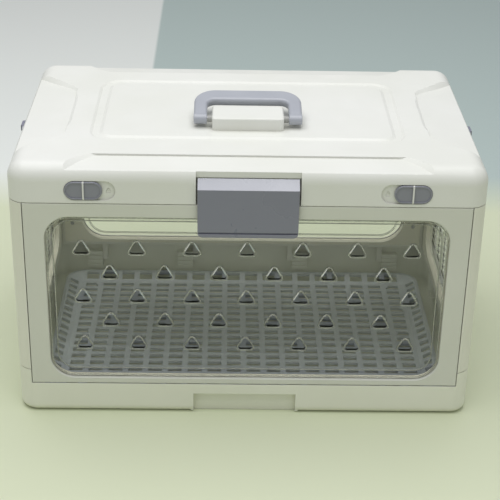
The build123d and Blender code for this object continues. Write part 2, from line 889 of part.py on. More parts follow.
def groove_block(grow_low, grow_high):
    """A tapered block under the lid's top, for one side of the groove round its middle."""
    faces = []
    for z, grow in ((lid_top - groove_depth, grow_low), (lid_top + 0.01, grow_high)):
        outline = RectangleRounded(
            2 * (groove_half_width + grow), 2 * (groove_half_depth + grow), groove_radius + grow
        )
        faces.append(Pos(0, groove_centre_y, z) * outline)
    return loft(faces, ruled=True)


def recess_outline(grow):
    """The outline of a slide lock's recess on the front of the lid, on the left."""
    outline = SlotOverall(recess_width + 2 * grow, recess_height + 2 * grow)
    return Pos(-recess_place, seam_height + recess_rise) * outline


def lock_mark():
    """A small generic padlock shape sunk into the recess's floor."""
    x = -recess_place + recess_width / 2 - lock_mark_margin
    z = seam_height + recess_rise
    body = Pos(x, z - lock_mark_size / 3) * Rectangle(lock_mark_size, lock_mark_body_height)
    arch = Circle(lock_mark_arch_radius) - Circle(lock_mark_arch_radius - lock_mark_line)
    arch = Pos(x, z + lock_mark_size / 4) * arch
    floor_depth = recess_depth + lock_mark_depth
    mark = front_side * extrude(Pos(0, 0, -floor_depth) * (body + arch), amount=floor_depth)
    return mark


def make_lid():
    """The lid shell, with its pads, groove, latch pocket, lock recesses and hinge barrels."""
    outer = rounded_prism(0, lid_bottom, lid_top)
    outer = chamfer(edges_at(outer, lid_bottom), edge_break / 2)
    outer = fillet(edges_at(outer, lid_top), lid_edge_radius)
    inner = rounded_prism(skin, lid_bottom - past, lid_top - lid_top_skin)
    inner = fillet(edges_at(inner, lid_top - lid_top_skin), lid_edge_radius - lid_top_skin)
    front_dip = dip_cut(
        front_dip_inner, front_dip_outer, front_dip_depth, 0, front_dip_round
    )
    side_dip = dip_cut(
        side_dip_inner, side_dip_outer, side_dip_depth, side_dip_edge, side_dip_round
    )
    dips = (
        Pos(0, front_y, 0) * front_dip,
        Pos(0, back_y, 0) * Rot(0, 0, 180) * front_dip,
        Pos(-side_x, 0, 0) * Rot(0, 0, -90) * side_dip,
        Pos(side_x, 0, 0) * Rot(0, 0, 90) * side_dip,
    )
    for lowered in dips:
        inner -= Pos(0, 0, -skin) * lowered
    shell = outer - inner
    pocket_half = pocket_width / 2
    liner = block(
        -pocket_half - pocket_wall, pocket_half + pocket_wall, front_y,
        front_y + pocket_depth + pocket_wall, lid_bottom, seam_height + pocket_ceiling + pocket_wall
    )
    rear_half = rear_notch_width / 2
    rear_liner = block(
        -rear_half - pocket_wall, rear_half + pocket_wall,
        back_y - notch_depth - skin, back_y, lid_bottom, lid_top - lid_top_skin / 2
    )
    backing = front_side * extrude(
        Pos(0, 0, -recess_backing_depth) * recess_outline(recess_backing), amount=recess_backing_depth
    )
    shell = shell + ((liner + rear_liner + backing + mirrored(backing)) & outer)
    for lowered in dips:
        shell -= lowered
    groove = groove_block(-groove_outer_run, 0)
    island_edge = groove_outer_run + groove_floor_width
    island = groove_block(-island_edge, -island_edge - groove_inner_run)
    shell -= groove - island
    shell -= block(
        -pocket_half, pocket_half, front_y - past, front_y + pocket_depth,
        lid_bottom - past, seam_height + pocket_ceiling
    )
    shell -= block(
        -pocket_half, pocket_half, front_y - past, front_y + notch_depth,
        lid_bottom - past, lid_top + past
    )
    shell -= block(
        -rear_half, rear_half, back_y - notch_depth, back_y + past, lid_bottom - past, lid_top + past
    )
    catch_front = front_y + catch_height + touch_gap
    shell += block(
        -catch_half_width, catch_half_width, catch_front, front_y + pocket_depth + pocket_wall / 2,
        seam_height + catch_low, seam_height + catch_low + catch_height
    )
    recess = front_side * extrude(Pos(0, 0, -recess_depth) * recess_outline(0), amount=recess_depth + past)
    stem_low = -knob_place() - stem_width / 2 - stem_clearance
    stem_high = -knob_place() + stem_width / 2 + slide_travel + stem_clearance
    stem_half = stem_height / 2 + stem_clearance
    slot = block(
        stem_low, stem_high, front_y - past, front_y + recess_backing_depth + past,
        seam_height + recess_rise - stem_half, seam_height + recess_rise + stem_half
    )
    shell = shell - recess - mirrored(recess) - lock_mark() - mirrored(lock_mark())
    shell = shell - slot - mirrored(slot)
    for x, y in block_screw_places():
        shell -= rod_z(x, y, lid_top - lid_top_skin - past, lid_top + past,
                       block_screw_radius + touch_gap)
    return lid_knuckles(shell, 1, 1, notch_depth + skin / 2)


def block_screw_places():
    """Where the four screws of the handle's block stand."""
    places = []
    for x in (-block_screw_spread_x, block_screw_spread_x):
        for row in block_screw_rows:
            places.append((x, front_y + block_front + row))
    return places


def knob_place():
    """How far each slide knob's middle lies from the carrier's middle at rest."""
    return recess_place + recess_width / 2 - touch_gap - knob_width / 2


def make_left_knob():
    """The left slide lock's knob, with a raised rib, a dished face and its stem."""
    outline = Pos(-knob_place(), seam_height + recess_rise) * SlotOverall(knob_width, knob_height)
    inside = Pos(-knob_place(), seam_height + recess_rise) * SlotOverall(
        knob_width - 2 * knob_rim, knob_height - 2 * knob_rim
    )
    rib = Pos(-knob_place(), seam_height + recess_rise) * Rectangle(knob_rib_width, knob_height)
    back = recess_depth - touch_gap
    knob = front_side * extrude(Pos(0, 0, -back) * outline, amount=back + knob_proud)
    front_edges = knob.faces().sort_by(Axis.Y)[0].edges()
    knob = fillet(front_edges, knob_rim / 2)
    dishes = front_side * extrude(Pos(0, 0, knob_proud - knob_dish_depth) * (inside - rib), amount=past)
    knob -= dishes
    ridge_height = knob_height - 2 * knob_rim
    ridge = Pos(-knob_place(), seam_height + recess_rise) * Rectangle(knob_rib_width, ridge_height)
    knob += front_side * extrude(ridge, amount=knob_proud + knob_rib_proud)
    stem = block(
        -knob_place() - stem_width / 2, -knob_place() + stem_width / 2,
        front_y + back - knob_dish_depth / 2, front_y + recess_backing_depth + touch_gap,
        seam_height + recess_rise - stem_height / 2, seam_height + recess_rise + stem_height / 2
    )
    knob += stem
    screw_hole = rod_y(
        -knob_place(), front_y + recess_depth, front_y + recess_backing_depth + past,
        seam_height + recess_rise, lock_screw_radius
    )
    return knob - screw_hole


def make_left_bolt():
    """The left slide lock's bolt, behind the lid's front wall."""
    near = recess_backing_depth + touch_gap
    rise = seam_height + recess_rise
    tip = -keeper_place + touch_gap
    bolt = block(tip + 2 * bolt_height, -bolt_inner_end, front_y + near, front_y + near + bolt_thickness,
                 rise - bolt_height / 2, rise + bolt_height / 2)
    bolt += block(tip, -bolt_inner_end, front_y + near, front_y + near + bolt_thickness,
                  rise - bolt_height / 4, rise + bolt_height / 4)
    return bolt - rod_y(-knob_place(), front_y, front_y + near + past + bolt_thickness,
                        rise, lock_screw_radius)


def make_left_lock_screw():
    """The screw that joins the left knob and bolt."""
    near = recess_backing_depth + touch_gap
    back = front_y + near + bolt_thickness
    rise = seam_height + recess_rise
    screw = rod_y(-knob_place(), front_y + recess_depth + touch_gap, back, rise, lock_screw_radius)
    screw += rod_y(-knob_place(), back, back + lock_screw_head_height, rise, lock_screw_head_radius)
    return screw


handle_axis_y = front_y + handle_axis_from_front
handle_axis_z = lid_top + handle_axis_rise


def make_handle_block():
    """The block on the lid that carries the handle: a hollow cap with four screw bosses."""
    low_y = front_y + block_front
    centre_y = low_y + block_depth / 2
    outline = RectangleRounded(block_width, block_depth, block_corner_radius)
    cap = extrude(Pos(0, centre_y, lid_top) * outline, amount=block_height)
    cap = fillet(edges_at(cap, lid_top + block_height), block_edge_radius)
    hollow = RectangleRounded(
        block_width - 2 * block_wall, block_depth - 2 * block_wall, block_corner_radius - block_wall
    )
    cap -= extrude(Pos(0, centre_y, lid_top - past) * hollow, amount=block_height - block_wall + past)
    for x, y in block_screw_places():
        cap += rod_z(x, y, lid_top, lid_top + block_height - block_wall / 2, block_boss_radius)
        cap -= rod_z(x, y, lid_top - past, lid_top + block_height / 2, block_screw_radius)
    gap_end = handle_width / 2 - handle_leg_width - touch_gap
    for sign in (-1, 1):
        low, high = sorted((sign * (block_width / 2 - block_wall / 2), sign * gap_end))
        cap += rod_x(low, high, handle_axis_y, handle_axis_z, handle_spacer_radius)
    return cap - rod_x(-gap_end, gap_end, handle_axis_y, handle_axis_z, handle_rod_radius)


def make_handle():
    """The bail handle: a rounded U bar on round ends, leaning back on the lid."""
    half = handle_width / 2
    inner_half = half - handle_leg_width
    u_bar = RectangleRounded(handle_width, 2 * handle_reach, handle_outer_radius)
    hole = RectangleRounded(
        2 * inner_half, 2 * (handle_reach - handle_grip_width), handle_inner_radius
    )
    keep = Pos(0, handle_reach) * Rectangle(2 * handle_width, 2 * handle_reach)
    outline = (u_bar - hole) & keep
    bar = extrude(Pos(0, 0, -handle_thickness / 2) * outline, amount=handle_thickness)
    long_edges = bar.edges().filter_by(
        lambda edge: abs(abs(edge.center().Z) - handle_thickness / 2) < 0.01 and edge.center().Y > 0.01
    )
    bar = fillet(long_edges, handle_edge_radius)
    for sign in (-1, 1):
        low, high = sorted((sign * (inner_half + touch_gap / 2), sign * (half - touch_gap / 2)))
        end = rod_x(low, high, 0, 0, handle_end_radius)
        end = fillet(end.edges().filter_by(GeomType.CIRCLE), edge_break)
        bar += end
    bore = rod_x(-half + skin, half - skin, 0, 0, handle_rod_radius + pin_clearance)
    bar -= bore
    return Pos(0, handle_axis_y, handle_axis_z) * Rot(handle_lean, 0, 0) * bar


def make_handle_rod():
    """The steel rod through the block that the handle turns on."""
    end = handle_width / 2 - skin - touch_gap
    return rod_x(-end, end, handle_axis_y, handle_axis_z, handle_rod_radius)


def make_block_screws():
    """The four screws from under the lid into the handle's block."""
    under = lid_top - lid_top_skin
    screws = []
    for x, y in block_screw_places():
        screw = rod_z(x, y, under, lid_top + block_height / 2 - touch_gap, block_screw_radius)
        screw += rod_z(x, y, under - block_screw_head_height, under, block_screw_head_radius)
        screws.append(screw)
    return screws


def make_lid_pin():
    """The lid's hinge pin, fast in the back wall's barrels."""
    half = lid_hinge_width / 2 - knuckle_gap
    return rod_x(-half, half, lid_axis_y, lid_axis_z, lid_pin_radius)


def mat_tray(grow_low, grow_high, z_low, z_high):
    """A tapered tray shape for the mat."""
    depth = mat_back - mat_front
    centre_y = front_y + (mat_front + mat_back) / 2
    faces = []
    for z, grow in ((z_low, grow_low), (z_high, grow_high)):
        outline = RectangleRounded(2 * (mat_half_width + grow), depth + 2 * grow, mat_corner_radius + grow)
        faces.append(Pos(0, centre_y, z) * outline)
    return loft(faces, ruled=True)


def make_mat():
    """The slotted floor mat: a flat grate with a sloped, slotted rim, on round feet."""
    low = base_floor + mat_foot_height
    flat_top = low + mat_thickness
    centre_y = front_y + (mat_front + mat_back) / 2
    tray = mat_tray(-mat_rim_run, 0, low, flat_top + mat_rim_height)
    hollow_rise = mat_rim_height + mat_thickness
    lean = mat_rim_run * mat_thickness / hollow_rise
    tray -= mat_tray(-mat_rim_run - lean, -lean, flat_top, flat_top + mat_rim_height + 0.01)
    slots = []
    slot_x = mat_slot_pitch_x - mat_rib_width
    slot_y = mat_slot_pitch_y - mat_bar_width
    rim_x = mat_half_width - mat_rim_run / 2 - mat_rim_slot_inset
    for row in range(mat_slot_rows):
        y = centre_y + (row - (mat_slot_rows - 1) / 2) * mat_slot_pitch_y
        for column in range(mat_slot_columns):
            x = (column - (mat_slot_columns - 1) / 2) * mat_slot_pitch_x
            slots.append(Pos(x, y) * Rectangle(slot_x, slot_y))
        for x in (-rim_x, rim_x):
            slots.append(Pos(x, y) * Rectangle(mat_rim_slot_width, slot_y))
    rim_y = (mat_back - mat_front) / 2 - mat_rim_run / 2 - mat_rim_slot_inset
    for column in range(mat_slot_columns):
        x = (column - (mat_slot_columns - 1) / 2) * mat_slot_pitch_x
        for y in (centre_y - rim_y, centre_y + rim_y):
            slots.append(Pos(x, y) * Rectangle(slot_x, mat_rim_slot_width))
    grid = extrude(Pos(0, 0, low - past) * (Sketch() + slots), amount=mat_rim_height + 4 * past)
    mat = tray - grid
    for x in (-mat_foot_inset_x, 0, mat_foot_inset_x):
        for y in (centre_y - mat_foot_inset_y, centre_y, centre_y + mat_foot_inset_y):
            mat += rod_z(x, y, base_floor, flat_top, mat_foot_radius)
    return mat


def save(name, *solids):
    """Write one piece, or one group of like pieces, to its file."""
    shape = solids[0] if len(solids) == 1 else Compound(children=list(solids))
    export_step(shape, "parts/" + name + ".step")


front_holes, front_rims = triangle_vents(vent_front_rows, vent_front_rows - 1)
back_holes, back_rims = triangle_vents(vent_back_rows, vent_back_rows - 1)
side_holes, side_rims = slot_vents()

save("base_tub", make_base())
save("door_hinge_pins", *make_door_pins())
save("floor_mat", make_mat())

save("door_frame", make_door_frame())
save("door_window", pin_slots(front_panel.pane(front_holes, front_rims)))
save("door_inner_frame", pin_slots(front_panel.inner_frame()))
save("door_screws", *front_panel.screws())
save("latch_pins", *make_latch_pins())
save("front_latch", make_latch())

save("back_wall_frame", make_back_frame())
save("back_window", back_panel.pane(back_holes, back_rims))
save("back_inner_frame", back_panel.inner_frame())
save("back_wall_screws", *back_panel.screws())
save("back_wall_hinge_pins", *back_pins)

left_frame = make_left_frame()
left_window = side_panel.pane(side_holes, side_rims)
left_inner = side_panel.inner_frame()
left_screws = side_panel.screws()
left_clip = make_left_clip()
left_clip_pin = make_left_clip_pin()
left_pieces = {
    "wall_frame": [left_frame],
    "window": [left_window],
    "inner_frame": [left_inner],
    "wall_screws": left_screws,
    "wall_hinge_pins": left_pins,
    "clip": [left_clip],
    "clip_pin": [left_clip_pin],
    "slide_knob": [make_left_knob()],
    "slide_bolt": [make_left_bolt()],
    "slide_screw": [make_left_lock_screw()],
}
for piece_name, piece_solids in left_pieces.items():
    save("left_" + piece_name, *piece_solids)
    save("right_" + piece_name, *[mirrored(solid) for solid in piece_solids])

save("lid_shell", make_lid())
save("lid_hinge_pin", make_lid_pin())
save("handle_block", make_handle_block())
save("handle_block_screws", *make_block_screws())
save("handle_rod", make_handle_rod())
save("handle_bail", make_handle())
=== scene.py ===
import math
import bpy
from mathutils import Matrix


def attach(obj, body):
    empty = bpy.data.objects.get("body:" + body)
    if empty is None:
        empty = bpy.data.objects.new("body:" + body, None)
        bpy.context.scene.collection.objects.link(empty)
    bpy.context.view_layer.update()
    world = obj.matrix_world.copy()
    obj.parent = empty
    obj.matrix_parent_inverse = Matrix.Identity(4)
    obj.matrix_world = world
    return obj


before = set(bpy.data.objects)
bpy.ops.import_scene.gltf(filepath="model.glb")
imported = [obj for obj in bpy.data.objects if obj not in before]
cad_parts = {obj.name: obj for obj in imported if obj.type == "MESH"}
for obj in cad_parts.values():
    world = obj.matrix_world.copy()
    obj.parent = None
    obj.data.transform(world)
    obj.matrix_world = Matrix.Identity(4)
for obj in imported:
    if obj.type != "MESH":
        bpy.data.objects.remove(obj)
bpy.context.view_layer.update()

bpy.ops.object.select_all(action="DESELECT")


# Base tub.
# One injection-moulded tub in cream polypropylene, with a lowered sill for the door
# and a finger recess. Its outside has a fine spark-eroded grain, paler edges that are partly rubbed wear
# and partly painted highlight, and painted shade in its hollows.
def cream_moulding(name, colour, rough, grain_size, grain_depth):
    """Cream moulded plastic: cloudy tint, fine grain, paler edges that are partly rubbed wear and partly
    painted highlight, and painted shade in its corners.
    """
    finish = bpy.data.materials.new(name)
    finish.use_nodes = True
    nodes = finish.node_tree.nodes
    join = finish.node_tree.links.new
    shader = nodes["Principled BSDF"]
    shader.inputs["IOR"].default_value = 1.49
    shader.inputs["Specular IOR Level"].default_value = 0.42
    place = nodes.new("ShaderNodeTexCoord")
    cloud = nodes.new("ShaderNodeTexNoise")
    cloud.inputs["Scale"].default_value = 9.0
    cloud.inputs["Detail"].default_value = 3.0
    join(place.outputs["Object"], cloud.inputs["Vector"])
    tint = nodes.new("ShaderNodeValToRGB")
    tint.color_ramp.elements[0].position = 0.3
    tint.color_ramp.elements[0].color = (colour[0] * 0.95, colour[1] * 0.955, colour[2] * 0.93, 1)
    tint.color_ramp.elements[1].position = 0.7
    tint.color_ramp.elements[1].color = (*colour, 1)
    join(cloud.outputs["Fac"], tint.inputs["Fac"])
    # Ambient occlusion darkens the tint in hollows and corners: painted shade.
    hollow = nodes.new("ShaderNodeAmbientOcclusion")
    hollow.samples = 4
    hollow.inputs["Distance"].default_value = 0.01
    hollow_painted_shade = nodes.new("ShaderNodeMix")
    hollow_painted_shade.data_type = "RGBA"
    hollow_painted_shade.blend_type = "MULTIPLY"
    hollow_painted_shade.inputs["B"].default_value = (0.74, 0.73, 0.66, 1)
    shade = nodes.new("ShaderNodeMapRange")
    shade.inputs["From Min"].default_value = 0.25
    shade.inputs["From Max"].default_value = 0.88
    shade.inputs["To Min"].default_value = 0.65
    shade.inputs["To Max"].default_value = 0.0
    join(hollow.outputs["AO"], shade.inputs["Value"])
    join(shade.outputs["Result"], hollow_painted_shade.inputs["Factor"])
    join(tint.outputs["Color"], hollow_painted_shade.inputs["A"])
    # Inside ambient occlusion finds convex edges and pales them: partly rubbed wear, partly painted
    # highlight.
    rim = nodes.new("ShaderNodeAmbientOcclusion")
    rim.inside = True
    rim.samples = 4
    rim.inputs["Distance"].default_value = 0.0011
    wear_and_highlight = nodes.new("ShaderNodeMapRange")
    wear_and_highlight.inputs["From Min"].default_value = 0.3
    wear_and_highlight.inputs["From Max"].default_value = 0.75
    wear_and_highlight.inputs["To Min"].default_value = 0.6
    wear_and_highlight.inputs["To Max"].default_value = 0.0
    join(rim.outputs["AO"], wear_and_highlight.inputs["Value"])
    rubbed_and_highlit = nodes.new("ShaderNodeMix")
    rubbed_and_highlit.data_type = "RGBA"
    rubbed_and_highlit.inputs["B"].default_value = (0.93, 0.93, 0.9, 1)
    join(wear_and_highlight.outputs["Result"], rubbed_and_highlit.inputs["Factor"])
    join(hollow_painted_shade.outputs["Result"], rubbed_and_highlit.inputs["A"])
    join(rubbed_and_highlit.outputs["Result"], shader.inputs["Base Color"])
    scuff = nodes.new("ShaderNodeTexNoise")
    scuff.inputs["Scale"].default_value = 42.0
    scuff.inputs["Detail"].default_value = 5.0
    scuff.inputs["Distortion"].default_value = 0.6
    join(place.outputs["Object"], scuff.inputs["Vector"])
    polish = nodes.new("ShaderNodeMapRange")
    polish.inputs["From Min"].default_value = 0.3
    polish.inputs["From Max"].default_value = 0.7
    polish.inputs["To Min"].default_value = rough - 0.06
    polish.inputs["To Max"].default_value = rough + 0.07
    join(scuff.outputs["Fac"], polish.inputs["Value"])
    join(polish.outputs["Result"], shader.inputs["Roughness"])
    grain = nodes.new("ShaderNodeTexNoise")
    grain.inputs["Scale"].default_value = grain_size
    grain.inputs["Detail"].default_value = 2.0
    join(place.outputs["Object"], grain.inputs["Vector"])
    relief = nodes.new("ShaderNodeBump")
    relief.inputs["Strength"].default_value = 0.35
    relief.inputs["Distance"].default_value = grain_depth
    join(grain.outputs["Fac"], relief.inputs["Height"])
    soft_edge = nodes.new("ShaderNodeBevel")
    soft_edge.samples = 4
    soft_edge.inputs["Radius"].default_value = 0.0007
    join(soft_edge.outputs["Normal"], relief.inputs["Normal"])
    join(relief.outputs["Normal"], shader.inputs["Normal"])
    return finish


def dress(names, finish):
    """Gives the named CAD nodes one finish."""
    for name in names:
        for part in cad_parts[name].material_slots:
            part.material = finish


base_finish = cream_moulding(
    "base_cream_plastic", (0.86, 0.87, 0.765), rough=0.4, grain_size=1500.0, grain_depth=0.00006
)
dress(["base_tub"], base_finish)


# Walls.
# Left, right and back walls are moulded frames in the same cream plastic, pinned to
# brackets inside the base. Inner frames clamp the clear windows from behind.
wall_finish = cream_moulding(
    "wall_cream_plastic", (0.84, 0.84, 0.75), rough=0.38, grain_size=1300.0, grain_depth=0.00005
)
dress(["left_wall_frame", "right_wall_frame", "back_wall_frame"], wall_finish)
# The inner frames' cream is paler and warmer than the walls': painted light of the interior's glow.
inner_finish = cream_moulding(
    "inner_frame_cream_plastic", (0.94, 0.915, 0.77), rough=0.46, grain_size=1700.0, grain_depth=0.00008
)
dress(["left_inner_frame", "right_inner_frame", "back_inner_frame", "door_inner_frame"], inner_finish)


# Door frame.
# The drop-down front door is a flatter frame than the lid, and its cream is painted darker and greyer, as
# painted shade on its front face. Two pins in the base's corner posts carry it, and its top edge has the
# latch's ears.
# Darker, greyer cream than the lid's: painted shade of the front face.
door_finish = cream_moulding(
    "door_cream_plastic", (0.72, 0.73, 0.665), rough=0.36, grain_size=1400.0, grain_depth=0.00005
)
dress(["door_frame"], door_finish)


# Lid shell.
# The lid is the whitest moulding. Its top has a shallow ring groove and lowered edge
# stretches, and its walls are satin, so they show a soft sheen from above.
lid_finish = cream_moulding(
    "lid_white_plastic", (0.845, 0.85, 0.815), rough=0.34, grain_size=1200.0, grain_depth=0.00004
)
dress(["lid_shell"], lid_finish)


# Handle block.
# A small box of the lid's own plastic. The stubs at its ends, which space the handle's
# legs, are painted dark grey as painted shade of the gaps beside them.
block_finish = cream_moulding(
    "handle_block_white_plastic", (0.845, 0.85, 0.815), rough=0.34, grain_size=1200.0, grain_depth=0.00004
)
block_nodes = block_finish.node_tree.nodes
block_join = block_finish.node_tree.links.new
block_shader = block_nodes["Principled BSDF"]
block_colour = block_shader.inputs["Base Color"].links[0].from_socket
block_place = block_nodes.new("ShaderNodeTexCoord")
block_axes = block_nodes.new("ShaderNodeSeparateXYZ")
block_join(block_place.outputs["Object"], block_axes.inputs["Vector"])
from_middle = block_nodes.new("ShaderNodeMath")
from_middle.operation = "ABSOLUTE"
block_join(block_axes.outputs["X"], from_middle.inputs[0])
past_end = block_nodes.new("ShaderNodeMapRange")
past_end.inputs["From Min"].default_value = 0.036
past_end.inputs["From Max"].default_value = 0.0363
past_end.inputs["To Max"].default_value = 0.8
block_join(from_middle.outputs["Value"], past_end.inputs["Value"])
# The block's ends past 36 mm from the middle are mixed towards dark grey: painted shade of the gaps.
gap_painted_shade = block_nodes.new("ShaderNodeMix")
gap_painted_shade.data_type = "RGBA"
gap_painted_shade.inputs["B"].default_value = (0.25, 0.25, 0.24, 1)
block_join(past_end.outputs["Result"], gap_painted_shade.inputs["Factor"])
block_join(block_colour, gap_painted_shade.inputs["A"])
block_join(gap_painted_shade.outputs["Result"], block_shader.inputs["Base Color"])
dress(["handle_block"], block_finish)


# Clear windows.
# Each window is a dished moulding in clear styrene, two millimetres thick, with vent
# holes that have polished rims. Fine wiping marks break up its gloss.
def clear_moulding(name, colour, wipe_turn):
    """Clear moulded plastic that lets the light of the room through, with fine wiping marks."""
    finish = bpy.data.materials.new(name)
    finish.use_nodes = True
    nodes = finish.node_tree.nodes
    join = finish.node_tree.links.new
    shader = nodes["Principled BSDF"]
    shader.inputs["Transmission Weight"].default_value = 1.0
    shader.inputs["IOR"].default_value = 1.49
    place = nodes.new("ShaderNodeTexCoord")
    turn = nodes.new("ShaderNodeMapping")
    turn.inputs["Rotation"].default_value = (0.0, wipe_turn, 0.0)
    turn.inputs["Scale"].default_value = (14.0, 14.0, 190.0)
    join(place.outputs["Object"], turn.inputs["Vector"])
    wipes = nodes.new("ShaderNodeTexNoise")
    wipes.inputs["Scale"].default_value = 1.0
    wipes.inputs["Detail"].default_value = 4.0
    join(turn.outputs["Vector"], wipes.inputs["Vector"])
    haze = nodes.new("ShaderNodeMapRange")
    haze.inputs["From Min"].default_value = 0.35
    haze.inputs["From Max"].default_value = 0.75
    haze.inputs["To Min"].default_value = 0.0
    haze.inputs["To Max"].default_value = 0.03
    join(wipes.outputs["Fac"], haze.inputs["Value"])
    join(haze.outputs["Result"], shader.inputs["Roughness"])
    cloud = nodes.new("ShaderNodeTexNoise")
    cloud.inputs["Scale"].default_value = 7.0
    join(place.outputs["Object"], cloud.inputs["Vector"])
    tint = nodes.new("ShaderNodeValToRGB")
    tint.color_ramp.elements[0].color = (colour[0] * 0.97, colour[1] * 0.975, colour[2] * 0.97, 1)
    tint.color_ramp.elements[1].color = (*colour, 1)
    join(cloud.outputs["Fac"], tint.inputs["Fac"])
    join(tint.outputs["Color"], shader.inputs["Base Color"])
    flow = nodes.new("ShaderNodeTexNoise")
    flow.inputs["Scale"].default_value = 26.0
    flow.inputs["Detail"].default_value = 1.0
    join(place.outputs["Object"], flow.inputs["Vector"])
    relief = nodes.new("ShaderNodeBump")
    relief.inputs["Strength"].default_value = 0.05
    relief.inputs["Distance"].default_value = 0.0003
    join(flow.outputs["Fac"], relief.inputs["Height"])
    join(relief.outputs["Normal"], shader.inputs["Normal"])
    passing = nodes.new("ShaderNodeBsdfTransparent")
    passing.inputs["Color"].default_value = (0.96, 0.965, 0.95, 1)
    ray = nodes.new("ShaderNodeLightPath")
    either = nodes.new("ShaderNodeMixShader")
    join(ray.outputs["Is Shadow Ray"], either.inputs["Fac"])
    join(shader.outputs["BSDF"], either.inputs[1])
    join(passing.outputs["BSDF"], either.inputs[2])
    join(either.outputs["Shader"], nodes["Material Output"].inputs["Surface"])
    return finish


front_clear = clear_moulding("door_clear_plastic", (0.995, 0.998, 0.99), wipe_turn=0.2)
dress(["door_window"], front_clear)
wall_clear = clear_moulding("wall_clear_plastic", (0.985, 0.99, 0.975), wipe_turn=0.9)
dress(["left_window", "right_window", "back_window"], wall_clear)


# Rims round the vent holes.
# Every vent has a raised, polished rim in the window's own plastic. These rings are thicker
# than the window and are painted pale and less clear than it, as painted highlight, so they show as pale
# outlines.
# Pale, partly clear plastic: painted highlight of the vent rims and the window edges.
rim_highlight_finish = bpy.data.materials.new("vent_rim_painted_highlight")
rim_highlight_finish.use_nodes = True
rim_nodes = rim_highlight_finish.node_tree.nodes
rim_join = rim_highlight_finish.node_tree.links.new
rim_shader = rim_nodes["Principled BSDF"]
rim_shader.inputs["Transmission Weight"].default_value = 0.75
rim_shader.inputs["IOR"].default_value = 1.49
rim_place = rim_nodes.new("ShaderNodeTexCoord")
rim_cloud = rim_nodes.new("ShaderNodeTexNoise")
rim_cloud.inputs["Scale"].default_value = 160.0
rim_cloud.inputs["Detail"].default_value = 2.0
rim_join(rim_place.outputs["Object"], rim_cloud.inputs["Vector"])
rim_highlight_tint = rim_nodes.new("ShaderNodeValToRGB")
rim_highlight_tint.color_ramp.elements[0].color = (0.66, 0.68, 0.57, 1)
rim_highlight_tint.color_ramp.elements[1].color = (0.93, 0.94, 0.88, 1)
rim_join(rim_cloud.outputs["Fac"], rim_highlight_tint.inputs["Fac"])
rim_join(rim_highlight_tint.outputs["Color"], rim_shader.inputs["Base Color"])
rim_polish = rim_nodes.new("ShaderNodeMapRange")
rim_polish.inputs["To Min"].default_value = 0.06
rim_polish.inputs["To Max"].default_value = 0.2
rim_join(rim_cloud.outputs["Fac"], rim_polish.inputs["Value"])
rim_join(rim_polish.outputs["Result"], rim_shader.inputs["Roughness"])
rim_relief = rim_nodes.new("ShaderNodeBump")
rim_relief.inputs["Strength"].default_value = 0.2
rim_relief.inputs["Distance"].default_value = 0.0001
rim_join(rim_cloud.outputs["Fac"], rim_relief.inputs["Height"])
rim_join(rim_relief.outputs["Normal"], rim_shader.inputs["Normal"])


def round_ring(ring, corner, width, thickness):
    """Turns a flat face into a closed ring with round corners, of that width and thickness."""
    bpy.ops.object.transform_apply(location=False, rotation=True, scale=False)
    bpy.ops.object.mode_set(mode="EDIT")
    bpy.ops.mesh.select_all(action="SELECT")
    bpy.ops.mesh.bevel(offset=corner, segments=7, affect="VERTICES")
    bpy.ops.mesh.select_all(action="SELECT")
    bpy.ops.mesh.inset(thickness=width)
    bpy.ops.mesh.delete(type="FACE")
    bpy.ops.object.mode_set(mode="OBJECT")
    wall = ring.modifiers.new("wall", "SOLIDIFY")
    wall.thickness = thickness
    wall.offset = 0.0
    bpy.ops.object.modifier_apply(modifier="wall")
    edge = ring.modifiers.new("edge", "BEVEL")
    edge.width = thickness * 0.4
    edge.segments = 3
    bpy.ops.object.modifier_apply(modifier="edge")
    bpy.ops.object.shade_smooth()


vent_rim_radius = 0.0132
vent_rim_corner = 0.0069
vent_pitch_across = 0.0536
vent_pitch_up = 0.0265
vent_top_row = 0.1827
vents_in_long_row = 7
bpy.ops.object.select_all(action="DESELECT")
bpy.ops.mesh.primitive_circle_add(
    vertices=3, radius=vent_rim_radius, fill_type="NGON", location=(0.0, 0.0, 0.0),
    rotation=(math.radians(90), 0, 0)
)
first_rim = bpy.context.object
round_ring(first_rim, vent_rim_corner, width=0.001, thickness=0.001)
first_rim.data.materials.append(rim_highlight_finish)
for window, depth, rows in (("door", -0.1415, 5), ("carrier", 0.1415, 4)):
    bpy.ops.object.select_all(action="DESELECT")
    for row in range(rows):
        count = vents_in_long_row - row % 2
        for number in range(count):
            rim = first_rim.copy()
            rim.data = first_rim.data.copy()
            across = (number - (count - 1) / 2) * vent_pitch_across
            rim.location = (across, depth, vent_top_row - row * vent_pitch_up)
            bpy.context.collection.objects.link(rim)
            rim.select_set(True)
    bpy.context.view_layer.objects.active = rim
    bpy.ops.object.join()
    bpy.ops.object.transform_apply(location=True, rotation=True, scale=True)
    rim.name = window + "_vent_rims"
    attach(rim, window)
bpy.data.objects.remove(first_rim)


